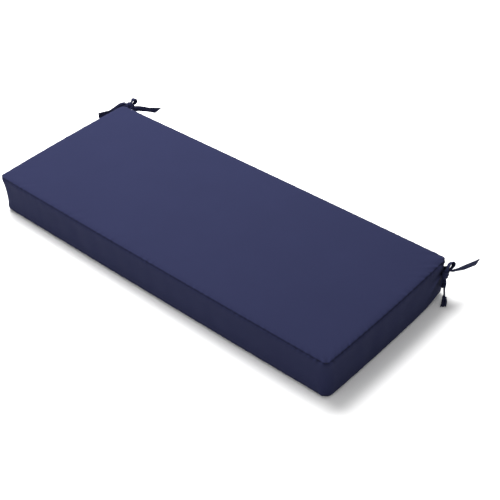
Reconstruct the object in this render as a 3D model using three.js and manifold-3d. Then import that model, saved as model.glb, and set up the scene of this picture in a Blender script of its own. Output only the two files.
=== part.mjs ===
// A bench cushion: one filled, boxed pad with two tie straps sewn into each back corner.
// Millimetres. X runs along the pad, Y points to its tied back edge, and Z is up.
// The origin is the middle of the flat underside.

import * as THREE from 'three';
import { mergeVertices } from 'three/addons/utils/BufferGeometryUtils.js';
import Module from 'manifold-3d';

const wasm = await Module();
wasm.setup();

// The pad. Its length and depth are measured between opposite seams.
const LENGTH = 1143;
const DEPTH = 460;
const BOTTOM_SEAM = 6;
const TOP_SEAM = 110;
const SEAM_GROOVE = 2.4; // how far a seam is pulled in from the cloth beside it
const BOXING_SWELL = 2.6; // how far the boxing stands proud of the seams at mid-height
const TOP_ROLL = 4.8; // rise of the top panel within its rolled edge
const CROWN = 4.8; // further rise of the top panel to its middle
const SIDE_BOW = 2; // how far the long sides bow out at their middle
const END_BOW = 4; // the same for the two ends
const FOOT_INSET = 14; // the underside is flat further in than this

// Facets around the pad.
const CORNER_STEPS = 6;
const LONG_STEPS = 22;
const SHORT_STEPS = 10;

// The tie straps.
const STRAP_WIDTH = 18;
const STRAP_THICKNESS = 2;
const CURLED_WIDTH = 13; // the strap's width where it lies on the floor with its edges curled in
const PINCHED_WIDTH = 4.8; // a strap is gathered to this where it enters its knot
const PINCHED_THICKNESS = 4.4;
const STRAP_BEVEL = 0.6;
const PIECE_GAP = 0.35;
const CLEARING = 0.4; // the inner strap is cleared by a fatter wrap strap, moved this far each way
const FATTER = 0.35; // how much is added to that wrap strap all round
const LEAST_ADVANCE = 0.05;
const ROOT_WIDTH = 14; // a strap's width where it is sewn into the corner
const ROOT_STUB = 6; // a strap comes straight out of the corner for this far
const ROOT_SLACK = 0.15; // the corner swells out by this past the row that the roots are placed from
const ROOT_SHIFT = 2.2; // each root lies this far to its side of the corner's diagonal
const CHUNK_STEPS = 5; // a strap is joined from bodies of this many steps

// A knot: each strap fills a block inside the wrap, and the blocks lie side by side.
const BLOCK_WIDTH = 12;
const BLOCK_THICKNESS = 5;
const BLOCK_OFFSET = 2.8; // from the middle of the knot to the middle of each block
const WRAP_WIDTH = 14;
const WRAP_THICKNESS = 2.6;
const WRAP_OUT = 6.6; // from the middle of the knot to the middle of the wrap's cloth
const WRAP_ACROSS = 7.8;
const WRAP_STEPS = 20;
const WRAP_ROWS = 12;
const LOOP_ROWS = 12;
const BLOCK_PROUD = 0.6; // a block stands out of the wrap by this at each end

const CLOTH_COLOUR = 0x3a3e63;
const STRAP_COLOUR = 0x33375a;
const CLOTH_ROUGHNESS = 0.85;

// The pad's profile from the underside up to the top panel, a row for each ring of its skin.
// inset: distance in from the seam line, round: radius of the corner in plan.
const UNDERSIDE_ROWS = [
  { inset: FOOT_INSET, height: 0, round: 12 },
  { inset: 7, height: 0.8, round: 15 },
  { inset: 2.8, height: 2.6, round: 17 },
  { inset: 0.8, height: BOTTOM_SEAM - 0.9, round: 18 },
  { inset: SEAM_GROOVE, height: BOTTOM_SEAM, round: 17 },
];
const BOXING_ROWS = [
  { inset: 0, height: BOTTOM_SEAM + 1.6, round: 19 },
  { inset: -1.4, height: BOTTOM_SEAM + 8, round: 21 },
  { inset: -0.9 * BOXING_SWELL, height: 34, round: 25 },
  { inset: -BOXING_SWELL, height: 58, round: 26 },
  { inset: -0.9 * BOXING_SWELL, height: 82, round: 24 },
  { inset: -1.4, height: TOP_SEAM - 8, round: 19 },
  { inset: 0.2, height: TOP_SEAM - 1.6, round: 15 },
  { inset: SEAM_GROOVE, height: TOP_SEAM, round: 11 },
];
const TOP_ROWS = [
  { inset: 0.8, height: TOP_SEAM + 0.9, round: 12 },
  { inset: 3.4, height: TOP_SEAM + 2.8, round: 12 },
  { inset: 8, height: TOP_SEAM + 4, round: 13 },
  { inset: 17, height: TOP_SEAM + TOP_ROLL, round: 16 },
  { inset: 45, height: TOP_SEAM + TOP_ROLL, round: 18 },
  { inset: 90, height: TOP_SEAM + TOP_ROLL, round: 20 },
  { inset: 145, height: TOP_SEAM + TOP_ROLL, round: 20 },
  { inset: 195, height: TOP_SEAM + TOP_ROLL, round: 15 },
  { inset: DEPTH / 2, height: TOP_SEAM + TOP_ROLL, round: 0 }, // shrunk to the middle line
];
const ROOT_ROW = BOXING_ROWS[4]; // the straps are sewn in near this height

// The flat patch of the underside around the origin is one facet, with these corners.
const FOOT_PATCH = [
  [-190, -90],
  [190, -90],
  [0, 130],
];

// The bows. Each is tied from the two straps of its corner: the inner strap's block lies next
// to the pad, and the wrap strap goes round both blocks. along: the axis of the wrap, out: the
// way the blocks are stacked, lengthways: the way a loop stands off the knot, eye: the way one
// looks through the loop, meets: where round the wrap its root joins it, across: the way the
// strap's width points, slant: how far the upper edge outruns the lower one at the end.
const BOWS = {
  right: {
    side: 1,
    rootHeight: 78,
    knot: [585, 207.8, 80.2],
    along: [0.05, 0.25, 0.97],
    out: [1, 0, 0],
    inner: {
      lead: { x: 581, y: 221.5, z: 87, across: [1, 0, 0.3], wide: 6.5, thick: 3 },
      loop: { lengthways: [0.03, 0.02, -1], eye: [0.1, -0.99, 0], length: 31, spread: 9 },
      slant: 10,
      tail: [
        { x: 587, y: 222, z: 86, across: [1, 0, 0.2], wide: 8, thick: 3 },
        { x: 590.6, y: 241, z: 77, across: [0.8, 0, 0.6], wide: 11, thick: 2.4 },
        { x: 599, y: 273, z: 70, across: [0.37, 0, 0.93], wide: STRAP_WIDTH, thick: STRAP_THICKNESS },
        { x: 606, y: 312, z: 63.5, across: [0.4, 0, 0.92], wide: STRAP_WIDTH, thick: STRAP_THICKNESS },
      ],
    },
    wrap: {
      meets: { out: -0.5, across: 0.86 },
      loop: { lengthways: [0.02, 0.75, 0.6], eye: [0.54, -0.556, 0.63], length: 31, spread: 17 },
      slant: -5,
      tail: [
        { x: 587.5, y: 204, z: 62, across: [0.7, -0.71, 0], wide: 6, thick: 3 },
        { x: 587, y: 202, z: 44, across: [0.7, -0.71, 0], wide: 9, thick: 2.4 },
        { x: 586.5, y: 205, z: 20, across: [0.7, -0.71, 0], wide: 8, thick: 2.8 },
        { x: 586.8, y: 206.3, z: 7, across: [0.8, 0.6, 0], wide: 6, thick: 3.4 },
        { x: 589, y: 203.4, z: 1.9, across: [0.8, 0.6, 0], wide: 10, thick: 2.4 },
        { x: 592.5, y: 196.8, z: 1.2, across: [0.8, 0.6, 0], wide: CURLED_WIDTH, thick: STRAP_THICKNESS },
        { x: 598.5, y: 186, z: 1.1, across: [0.8, 0.6, 0], wide: CURLED_WIDTH, thick: STRAP_THICKNESS },
      ],
    },
  },
  left: {
    side: -1,
    rootHeight: 78,
    knot: [-575, 248, 99],
    along: [0.52, 0.83, 0.17],
    out: [-0.34, 0.94, 0],
    inner: {
      lead: { x: -560, y: 246, z: 93, across: [0.3, -0.3, 0.9], wide: 9, thick: 3 },
      loop: { lengthways: [-0.5, 0.1, -0.85], eye: [0.52, 0.83, 0], length: 36, spread: 10 },
      slant: 18,
      tail: [
        { x: -561, y: 260, z: 96, across: [-0.6, 0.6, 0.5], wide: 7, thick: 3 },
        { x: -548, y: 271, z: 89.5, across: [-0.3, 0.5, 0.8], wide: 9, thick: 2.4 },
        { x: -531, y: 289, z: 82.5, across: [0.1, -0.2, 0.95], wide: STRAP_WIDTH, thick: STRAP_THICKNESS },
        { x: -512, y: 309, z: 77, across: [0.1, -0.4, 0.9], wide: STRAP_WIDTH, thick: STRAP_THICKNESS },
      ],
    },
    wrap: {
      meets: { out: -1, across: 0 },
      loop: { lengthways: [0.5, 0.67, 0.42], eye: [0.54, -0.556, 0.63], length: 22.5, spread: 16 },
      slant: 0,
      tail: [
        { x: -583.5, y: 236, z: 100, across: [0, 0, 1], wide: 11, thick: 2.6 },
        { x: -593, y: 225, z: 91, across: [0, 0, 1], wide: 15, thick: 2.2 },
        { x: -602, y: 212, z: 84, across: [0, 0, 1], wide: 17, thick: STRAP_THICKNESS },
        { x: -611, y: 190, z: 86.5, across: [0, 0, 1], wide: STRAP_WIDTH, thick: STRAP_THICKNESS },
        { x: -619, y: 170, z: 87.5, across: [0, 0, 1], wide: STRAP_WIDTH, thick: STRAP_THICKNESS },
      ],
    },
  },
};

const vector = (list) => new THREE.Vector3(...list);

const unit = (list) => vector(list).normalize();

const join = (solids) => wasm.Manifold.union(solids);

// A rounded rectangle in plan, listed anticlockwise from the middle of the corner at +X +Y.
function outline({ inset, round }) {
  const halfX = LENGTH / 2 - inset;
  const halfY = DEPTH / 2 - inset;
  const corners = [
    { sx: 1, sy: 1, from: 0, side: LONG_STEPS },
    { sx: -1, sy: 1, from: Math.PI / 2, side: SHORT_STEPS },
    { sx: -1, sy: -1, from: Math.PI, side: LONG_STEPS },
    { sx: 1, sy: -1, from: 1.5 * Math.PI, side: SHORT_STEPS },
  ];
  const arcPoint = ({ sx, sy }, angle) => new THREE.Vector2(
    sx * (halfX - round) + round * Math.cos(angle),
    sy * (halfY - round) + round * Math.sin(angle),
  );
  const points = [];
  corners.forEach((corner, index) => {
    const next = corners[(index + 1) % corners.length];
    for (let step = 0; step <= CORNER_STEPS; step += 1) {
      points.push(arcPoint(corner, corner.from + (Math.PI / 2) * (step / CORNER_STEPS)));
    }
    const sideStart = points[points.length - 1];
    const sideEnd = arcPoint(next, next.from);
    for (let step = 1; step < corner.side; step += 1) {
      points.push(sideStart.clone().lerp(sideEnd, step / corner.side));
    }
  });
  return points;
}

// One ring of the pad's skin, with the bow of the long sides and the crown of the top panel.
function padRing(row, crowned) {
  return outline(row).map((point) => {
    const alongX = Math.min(1, Math.abs(point.x) / (LENGTH / 2));
    const alongY = Math.min(1, Math.abs(point.y) / (DEPTH / 2));
    const sideBow = SIDE_BOW * (1 - alongX ** 2) * alongY ** 8;
    const endBow = END_BOW * (1 - alongY ** 2) * alongX ** 8;
    const rise = crowned ? CROWN * (1 - alongX ** 4) * (1 - alongY ** 2) : 0;
    return new THREE.Vector3(
      point.x + Math.sign(point.x) * endBow,
      point.y + Math.sign(point.y) * sideBow,
      row.height + rise,
    );
  });
}

// A closed geometry from points and triangles of indices. Points that coincide become one, and
// the triangles that this leaves without area are dropped.
function geometryOf(points, triangles) {
  const loose = new THREE.BufferGeometry().setFromPoints(points);
  loose.setIndex(triangles.flat());
  const geometry = mergeVertices(loose, 1e-4);
  const index = Array.from(geometry.index.array);
  const kept = [];
  for (let i = 0; i < index.length; i += 3) {
    const [a, b, c] = index.slice(i, i + 3);
    if (a !== b && b !== c && c !== a) kept.push(a, b, c);
  }
  geometry.setIndex(kept);
  return geometry;
}

// Triangles between each ring and the next, all rings having the same number of points.
function bands(ringCount, ringSize) {
  const triangles = [];
  for (let ring = 0; ring < ringCount - 1; ring += 1) {
    const low = ring * ringSize;
    const high = low + ringSize;
    for (let i = 0; i < ringSize; i += 1) {
      const j = (i + 1) % ringSize;
      triangles.push([low + i, low + j, high + j], [low + i, high + j, high + i]);
    }
  }
  return triangles;
}

function padGeometry() {
  const rows = [...UNDERSIDE_ROWS, ...BOXING_ROWS];
  const rings = [...rows.map((row) => padRing(row, false)), ...TOP_ROWS.map((row) => padRing(row, true))];
  const size = rings[0].length;
  const points = rings.flat();
  const triangles = bands(rings.length, size);
  const patchStart = points.length;
  FOOT_PATCH.forEach(([x, y]) => points.push(new THREE.Vector3(x, y, 0)));
  const patch = FOOT_PATCH.map(([x, y]) => new THREE.Vector2(x, y));
  const place = (index) => (index < size ? index : patchStart + index - size);
  const foot = rings[0].map((p) => new THREE.Vector2(p.x, p.y));
  const around = THREE.ShapeUtils.triangulateShape(foot, [patch]);
  around.forEach(([a, b, c]) => triangles.push([place(a), place(c), place(b)]));
  triangles.push([patchStart, patchStart + 2, patchStart + 1]);
  return geometryOf(points, triangles);
}

// A strap's section, across by thick, with its corners bevelled.
function strapSection(wide, thick) {
  const bevel = Math.min(STRAP_BEVEL, thick / 3);
  const a = wide / 2;
  const b = thick / 2;
  return [
    [a, -b + bevel], [a, b - bevel], [a - bevel, b], [-a + bevel, b],
    [-a, b - bevel], [-a, -b + bevel], [-a + bevel, -b], [a - bevel, -b],
  ];
}

function solidOf(geometry) {
  return new wasm.Manifold(new wasm.Mesh({
    numProp: 3,
    vertProperties: geometry.attributes.position.array,
    triVerts: Uint32Array.from(geometry.index.array),
  }));
}

// A closed body through sections, which are rings of the same number of points.
function bodyThrough(sections) {
  const size = sections[0].length;
  const end = (sections.length - 1) * size;
  const triangles = bands(sections.length, size);
  for (let i = 1; i < size - 1; i += 1) {
    triangles.push([0, i + 1, i], [end, end + i, end + i + 1]);
  }
  return solidOf(geometryOf(sections.flat(), triangles));
}

// Where a strap bends more tightly than it is wide, the points on the inside of the bend are
// held a hair ahead of the ones before them, so that it never folds through itself.
function holdAhead(section, previous, tangent) {
  section.forEach((point, index) => {
    const advance = point.clone().sub(previous[index]).dot(tangent);
    if (advance < LEAST_ADVANCE) point.addScaledVector(tangent, LEAST_ADVANCE - advance);
  });
}

// A strap along a smooth route. Each row gives a point, the way its width points, and its
// section. slant skews the far end, and fatter is added to the section all round.
function ribbon(rows, { steps, closed = false, slant = 0, fatter = 0 }) {
  const route = new THREE.CatmullRomCurve3(rows.map((row) => row.at), closed, 'centripetal');
  const ways = [];
  rows.forEach((row, index) => {
    const way = row.across.clone();
    if (index > 0 && way.dot(ways[index - 1]) < 0) way.negate();
    ways.push(way);
  });
  const spans = closed ? rows.length : rows.length - 1;
  const sections = [];
  for (let step = 0; step <= steps; step += 1) {
    const t = closed ? (step % steps) / steps : step / steps;
    const position = Math.min(t * spans, spans - 1e-9);
    const before = Math.floor(position);
    const after = (before + 1) % rows.length;
    const share = position - before;
    const tangent = route.getTangent(t);
    const across = ways[before].clone().lerp(ways[after], share);
    across.addScaledVector(tangent, -across.dot(tangent)).normalize();
    const normal = tangent.clone().cross(across);
    const wide = THREE.MathUtils.lerp(rows[before].wide, rows[after].wide, share);
    const thick = THREE.MathUtils.lerp(rows[before].thick, rows[after].thick, share);
    const skew = (across.z < -0.1 ? -slant : slant) * t ** 12;
    const centre = route.getPoint(t);
    const section = strapSection(wide + 2 * fatter, thick + 2 * fatter).map(([a, b]) => centre.clone()
      .addScaledVector(across, a)
      .addScaledVector(normal, b)
      .addScaledVector(tangent, skew * (a / wide)));
    if (step > 0 && !closed) holdAhead(section, sections[step - 1], tangent);
    sections.push(section);
  }
  const chunks = [];
  for (let start = 0; start < steps; start += CHUNK_STEPS) {
    chunks.push(bodyThrough(sections.slice(start, start + CHUNK_STEPS + 1)));
  }
  return join(chunks);
}

const pinched = (at, across) => ({ at, across, wide: PINCHED_WIDTH, thick: PINCHED_THICKNESS });

// The rows of a loop: a teardrop that leaves the knot pinched, opens flat, and comes back.
function loopRows(start, { lengthways, eye, length, spread }) {
  const out = unit(lengthways);
  const across = unit(eye);
  across.addScaledVector(out, -across.dot(out)).normalize();
  const sideways = out.clone().cross(across);
  const rows = [];
  for (let i = 0; i <= LOOP_ROWS; i += 1) {
    const turn = Math.PI * (i / LOOP_ROWS);
    const open = THREE.MathUtils.smoothstep(Math.sin(turn), 0.1, 0.85);
    rows.push({
      at: start.clone().addScaledVector(out, length * Math.sin(turn))
        .addScaledVector(sideways, (spread / 2) * Math.sin(2 * turn)),
      across,
      wide: THREE.MathUtils.lerp(PINCHED_WIDTH, STRAP_WIDTH, open),
      thick: THREE.MathUtils.lerp(PINCHED_THICKNESS, STRAP_THICKNESS, open),
    });
  }
  return rows;
}

function geometryOfSolid(solid) {
  const mesh = solid.getMesh();
  const geometry = new THREE.BufferGeometry();
  geometry.setAttribute('position', new THREE.BufferAttribute(Float32Array.from(mesh.vertProperties), 3));
  geometry.setIndex(Array.from(mesh.triVerts));
  return geometry;
}

// The directions at a knot, and the middle and both ends of each strap's block in it.
function knotFrame(bow) {
  const middle = vector(bow.knot);
  const along = unit(bow.along);
  const out = unit(bow.out);
  out.addScaledVector(along, -out.dot(along)).normalize();
  const across = along.clone().cross(out);
  const block = (layer) => {
    const core = middle.clone().addScaledVector(out, layer * BLOCK_OFFSET);
    const end = (way) => core.clone().addScaledVector(along, way * (WRAP_WIDTH / 2 + BLOCK_PROUD));
    return { core, top: end(1), bottom: end(-1) };
  };
  return { middle, along, out, across, inner: block(-1), wrap: block(1) };
}

const UPRIGHT = new THREE.Vector3(0, 0, 1);

// The sewn-in start of a strap: out of the corner's upright edge, just off its cloth.
function rootRows(bow, sideways) {
  const reach = ROOT_ROW.round + PIECE_GAP + ROOT_SLACK;
  const diagonal = unit([bow.side, 1, 0]);
  const at = new THREE.Vector3(
    bow.side * (LENGTH / 2 - ROOT_ROW.inset - ROOT_ROW.round),
    DEPTH / 2 - ROOT_ROW.inset - ROOT_ROW.round,
    bow.rootHeight,
  ).addScaledVector(diagonal, reach).addScaledVector(unit([-bow.side, 1, 0]), sideways);
  const flat = { across: UPRIGHT, thick: STRAP_THICKNESS };
  return [
    { ...flat, at, wide: ROOT_WIDTH },
    { ...flat, at: at.clone().addScaledVector(diagonal, ROOT_STUB), wide: ROOT_WIDTH - 2 },
  ];
}

const routeRow = (row) => ({ ...row, at: new THREE.Vector3(row.x, row.y, row.z), across: unit(row.across) });

const blockRow = (at, across) => ({ at, across, wide: BLOCK_WIDTH, thick: BLOCK_THICKNESS });

// A tail's route: out of the strap's block by the end given, and on through its own rows.
function tailRows(core, end, tail) {
  const rows = tail.map(routeRow);
  return [pinched(core, rows[0].across), pinched(end, rows[0].across), ...rows];
}

// The strap whose block lies inside the wrap, next to the pad.
function innerStrap(bow) {
  const { across, inner: { core, top, bottom } } = knotFrame(bow);
  const { loop, tail, slant } = bow.inner;
  const lead = routeRow(bow.inner.lead);
  const parts = [
    ribbon([...rootRows(bow, ROOT_SHIFT), lead, pinched(top, lead.across), pinched(core, lead.across)], { steps: 15 }),
    ribbon([blockRow(bottom, across), blockRow(top, across)], { steps: 2 }),
    ribbon(loopRows(bottom, loop), { steps: 25 }),
    ribbon(tailRows(core, top, tail), { steps: 25, slant }),
  ];
  return join(parts);
}

// The strap that goes round both blocks, and then makes the other loop and tail. fatter is added
// to its cloth all round.
function wrapStrap(bow, fatter = 0) {
  const { middle, along, out, across, wrap: { core, top, bottom } } = knotFrame(bow);
  const { meets, loop, tail, slant } = bow.wrap;
  const onWrap = (cosine, sine) => ({
    at: middle.clone().addScaledVector(out, WRAP_OUT * cosine).addScaledVector(across, WRAP_ACROSS * sine),
    across: along,
    wide: WRAP_WIDTH,
    thick: WRAP_THICKNESS,
  });
  const hoop = [];
  for (let i = 0; i < WRAP_ROWS; i += 1) {
    const turn = 2 * Math.PI * (i / WRAP_ROWS);
    hoop.push(onWrap(Math.cos(turn), Math.sin(turn)));
  }
  const parts = [
    ribbon([...rootRows(bow, -ROOT_SHIFT), onWrap(meets.out, meets.across)], { steps: 10, fatter }),
    ribbon(hoop, { steps: WRAP_STEPS, closed: true, fatter }),
    ribbon([blockRow(bottom, across), blockRow(top, across)], { steps: 2, fatter }),
    ribbon([blockRow(core, across), { ...blockRow(core, across), at: onWrap(1, 0).at }], { steps: 2, fatter }),
    ribbon(loopRows(top, loop), { steps: 25, fatter }),
    ribbon(tailRows(core, bottom, tail), { steps: 30, slant, fatter }),
  ];
  return join(parts);
}

// What is left of one solid when another is moved a little each way through it.
function clearOf(solid, other) {
  const ends = [-1, 1];
  const square = ends.flatMap((end) => [[end, 0, 0], [0, end, 0], [0, 0, end]]);
  const corners = ends.flatMap((x) => ends.flatMap((y) => ends.map((z) => [x, y, z])));
  const moved = [...square, ...corners].map((way) => other.translate(unit(way).multiplyScalar(CLEARING).toArray()));
  return solid.subtract(join(moved));
}

const bench = new THREE.Group();
bench.name = 'bench_cushion';

function addPiece(name, geometry, color) {
  const material = new THREE.MeshStandardMaterial({ color, roughness: CLOTH_ROUGHNESS, metalness: 0 });
  const mesh = new THREE.Mesh(geometry, material);
  mesh.name = name;
  bench.add(mesh);
}

addPiece('cushion', padGeometry(), CLOTH_COLOUR);
for (const [name, bow] of Object.entries(BOWS)) {
  const wrap = wrapStrap(bow);
  const inner = clearOf(innerStrap(bow), wrapStrap(bow, FATTER));
  addPiece(`tie_${name}_inner`, geometryOfSolid(inner), STRAP_COLOUR);
  addPiece(`tie_${name}_wrap`, geometryOfSolid(wrap), STRAP_COLOUR);
}

export default bench;
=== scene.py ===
"""The looks of a bench cushion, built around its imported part.

A filled, boxed pad carries two cloth straps at each back corner, and each pair is tied in a bow.
Metres, in the part's frame: X runs along the pad, Y points to its tied back edge, and Z is up.
"""

import logging
import math
from dataclasses import dataclass
from enum import Enum

import bmesh
import bpy
import numpy as np
from mathutils import Matrix


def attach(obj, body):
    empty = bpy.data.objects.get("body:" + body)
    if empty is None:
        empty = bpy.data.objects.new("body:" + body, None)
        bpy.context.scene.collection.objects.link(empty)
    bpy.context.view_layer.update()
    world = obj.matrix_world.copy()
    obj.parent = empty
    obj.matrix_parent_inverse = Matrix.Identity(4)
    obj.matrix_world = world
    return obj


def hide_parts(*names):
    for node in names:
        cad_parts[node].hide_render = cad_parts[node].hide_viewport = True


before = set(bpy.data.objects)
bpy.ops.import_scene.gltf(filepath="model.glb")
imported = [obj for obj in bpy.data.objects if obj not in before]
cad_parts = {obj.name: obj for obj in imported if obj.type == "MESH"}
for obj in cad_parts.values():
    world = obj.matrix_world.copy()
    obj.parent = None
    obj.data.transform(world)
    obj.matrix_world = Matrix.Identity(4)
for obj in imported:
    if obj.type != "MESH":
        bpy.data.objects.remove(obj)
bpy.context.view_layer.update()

MM = 0.001
TURN = 2 * math.pi
TINY = 1e-9
LEAST_GAP = 1e-3
PAD_LENGTH = 1143.0
PAD_DEPTH = 460.0
ROOT_HEIGHT = 78.0
STRAP_WIDTH = 18.0
PINCHED_WIDTH = 6.0
UV_NAME = "cloth_metres"
# Holds painted light and cloth wear: lighter above 0 on worn rolls and edges, partly painted highlight;
# painted shade below 0 in seams, creases and stitch lines.
WEAR_AND_PAINTED_LIGHT_NAME = "seam_wear_and_painted_light"

Array = np.ndarray
Triple = tuple[float, float, float]

log = logging.getLogger("bench_cushion")


class Slot(Enum):
    """The material slots of the part's record."""

    COVER = "cover_fabric"
    TIE = "tie_fabric"


class Panel(Enum):
    """The cut pieces of the pad's cover."""

    UNDERSIDE = 0
    BOXING = 1
    TOP = 2


# Small geometry and mesh helpers.


def unit(vector: list[float] | Array) -> Array:
    """Return the vector at length one."""
    vector = np.asarray(vector, float)
    return vector / np.linalg.norm(vector)


def smoothstep(value: Array | float, low: float, high: float) -> Array | float:
    """Return a smooth rise from 0 at low to 1 at high."""
    share = np.clip((value - low) / (high - low), 0, 1)
    return share * share * (3 - 2 * share)


def running(points: Array) -> Array:
    """Return each point's distance along the line through the points."""
    return np.concatenate([[0], np.cumsum(np.linalg.norm(np.diff(points, axis=0), axis=1))])


def smooth_table(at: Array, keys: Array, values: Array) -> Array:
    """Interpolate a table smoothly and without overshoot.

    Args:
        at: where the table is read.
        keys: rising places of its rows.
        values: the value in each row.

    Returns:
        The value at each place.
    """
    gaps = np.diff(keys)
    slopes = np.diff(values) / gaps
    ends = np.zeros(len(keys))
    ends[0], ends[-1] = slopes[0], slopes[-1]
    for i in range(1, len(keys) - 1):
        if slopes[i - 1] * slopes[i] > 0:
            first, second = 2 * gaps[i] + gaps[i - 1], gaps[i] + 2 * gaps[i - 1]
            ends[i] = (first + second) / (first / slopes[i - 1] + second / slopes[i])
    i = np.clip(np.searchsorted(keys, at, side="right") - 1, 0, len(keys) - 2)
    t = (at - keys[i]) / gaps[i]
    rise = 3 * t**2 - 2 * t**3
    pull = gaps[i] * ((t**3 - 2 * t**2 + t) * ends[i] + (t**3 - t**2) * ends[i + 1])
    return values[i] + rise * (values[i + 1] - values[i]) + pull


def graded(total: float, first: float, growth: float, largest: float, both_ends: bool) -> Array:
    """Return distances from 0 to total in steps that grow away from a seam.

    Args:
        total: the whole distance.
        first: the step next to the seam.
        growth: how much longer each step is than the one before.
        largest: the longest step.
        both_ends: whether there is a seam at the far end too.

    Returns:
        The distances, both ends included.
    """
    reach = total / 2 if both_ends else total
    marks, step = [0.0], first
    while marks[-1] < reach:
        marks.append(marks[-1] + step)
        step = min(step * growth, largest)
    marks = np.array(marks) * (reach / marks[-1])
    if both_ends:
        marks = np.concatenate([marks, total - marks[-2::-1]])
    return marks


def make_object(name: str, points: Array, faces: list[tuple[int, ...]]) -> bpy.types.Object:
    """Make a smooth mesh object at the origin and link it to the scene."""
    mesh = bpy.data.meshes.new(name)
    mesh.from_pydata([tuple(p) for p in points], [], faces)
    mesh.polygons.foreach_set("use_smooth", [True] * len(mesh.polygons))
    piece = bpy.data.objects.new(name, mesh)
    bpy.context.scene.collection.objects.link(piece)
    return piece


def store_wear_and_painted_light(piece: bpy.types.Object, values: Array) -> None:
    """Store at each point how much worn cloth and painted highlight lighten it, above 0, or how much painted
    shade darkens it, below 0.
    """
    attribute = piece.data.attributes.new(WEAR_AND_PAINTED_LIGHT_NAME, "FLOAT", "POINT")
    attribute.data.foreach_set("value", values.ravel().astype(np.float32))


@dataclass(frozen=True)
class Ripple:
    """An irregular wave along a line that closes on itself.

    Its values have a spread of about one, and it is the same for the same seed.
    """

    seed: int
    shortest: float
    longest: float
    count: int = 16

    def at(self, distance: Array, around: float) -> Array:
        """Return the wave at each distance along a line of the length around."""
        random = np.random.default_rng(self.seed)
        cycles = random.integers(round(around / self.longest), round(around / self.shortest), self.count)
        phases = random.uniform(0, TURN, self.count)
        weights = random.uniform(0.5, 1, self.count)
        wave = np.zeros_like(distance, float)
        for cycle, phase, weight in zip(cycles, phases, weights):
            wave += weight * np.sin(TURN * cycle * distance / around + phase)
        return wave / math.sqrt((weights**2).sum() / 2)


# Finishes.


def add_node(
    tree: bpy.types.NodeTree, kind: str, sockets: dict[str | int, object] | None = None, **settings: object
) -> bpy.types.Node:
    """Add a node to a tree.

    Args:
        tree: the material's or the geometry's nodes.
        kind: the node's type.
        sockets: each input's constant, or the output that is linked to it.
        settings: the node's properties.

    Returns:
        The node.
    """
    node = tree.nodes.new(kind)
    for key, value in settings.items():
        setattr(node, key, value)
    for key, value in (sockets or {}).items():
        fill_socket(tree, node.inputs[key], value)
    return node


def fill_socket(tree: bpy.types.NodeTree, socket: bpy.types.NodeSocket, value: object) -> None:
    """Give a socket a constant, or link another node's output to it."""
    if isinstance(value, bpy.types.NodeSocket):
        tree.links.new(value, socket)
    else:
        socket.default_value = value


class NodeBoard:
    """A material's node tree with short ways to add its nodes."""

    MIX_SHARE, MIX_FIRST, MIX_SECOND, MIX_RESULT = 0, 6, 7, 2

    def __init__(self, name: str) -> None:
        """Start an empty material that has only its shader and output."""
        self.material = bpy.data.materials.new(name)
        self.material.use_nodes = True
        self.tree = self.material.node_tree

    def math(self, operation: str, first: object, second: object = 0.0) -> bpy.types.NodeSocket:
        """Add a Math node and return its result."""
        return add_node(self.tree, "ShaderNodeMath", {0: first, 1: second}, operation=operation).outputs[0]

    def total(self, *terms: tuple[object, object]) -> bpy.types.NodeSocket:
        """Return the sum of values, each times its factor."""
        first, *rest = (self.math("MULTIPLY", *term) for term in terms)
        for term in rest:
            first = self.math("ADD", first, term)
        return first

    def noise(self, where: object, scale: float, detail: float = 2.0) -> bpy.types.NodeSocket:
        """Add a noise texture and return its value."""
        sockets = {"Vector": where, "Scale": scale, "Detail": detail}
        return add_node(self.tree, "ShaderNodeTexNoise", sockets).outputs["Fac"]

    def stretched(self, where: object, scale: Triple) -> bpy.types.NodeSocket:
        """Add a Mapping node that scales coordinates, and return them."""
        return add_node(self.tree, "ShaderNodeMapping", {"Vector": where, "Scale": scale}).outputs["Vector"]

    def blend(self, share: object, first: object, second: object) -> bpy.types.NodeSocket:
        """Mix two colours by a share and return the result."""
        sockets = {self.MIX_SHARE: share, self.MIX_FIRST: first, self.MIX_SECOND: second}
        return add_node(self.tree, "ShaderNodeMix", sockets, data_type="RGBA").outputs[self.MIX_RESULT]

    def bumped(self, height: object, distance: float, strength: float = 1.0) -> bpy.types.NodeSocket:
        """Return the surface direction that a height gives."""
        sockets = {"Height": height, "Distance": distance, "Strength": strength}
        return add_node(self.tree, "ShaderNodeBump", sockets).outputs["Normal"]

    def place(self) -> bpy.types.NodeSocket:
        """Return the object's own coordinates."""
        return add_node(self.tree, "ShaderNodeTexCoord").outputs["Object"]

    def finished(self, values: dict[str, object]) -> bpy.types.Material:
        """Give the shader's sockets their values, and return the material."""
        for name, value in values.items():
            fill_socket(self.tree, self.tree.nodes["Principled BSDF"].inputs[name], value)
        return self.material


def tinted(colour: Triple, factor: float) -> tuple[float, float, float, float]:
    """Return an opaque colour that is lighter or darker by a factor."""
    return (*(min(1.0, part * factor) for part in colour), 1.0)


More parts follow.
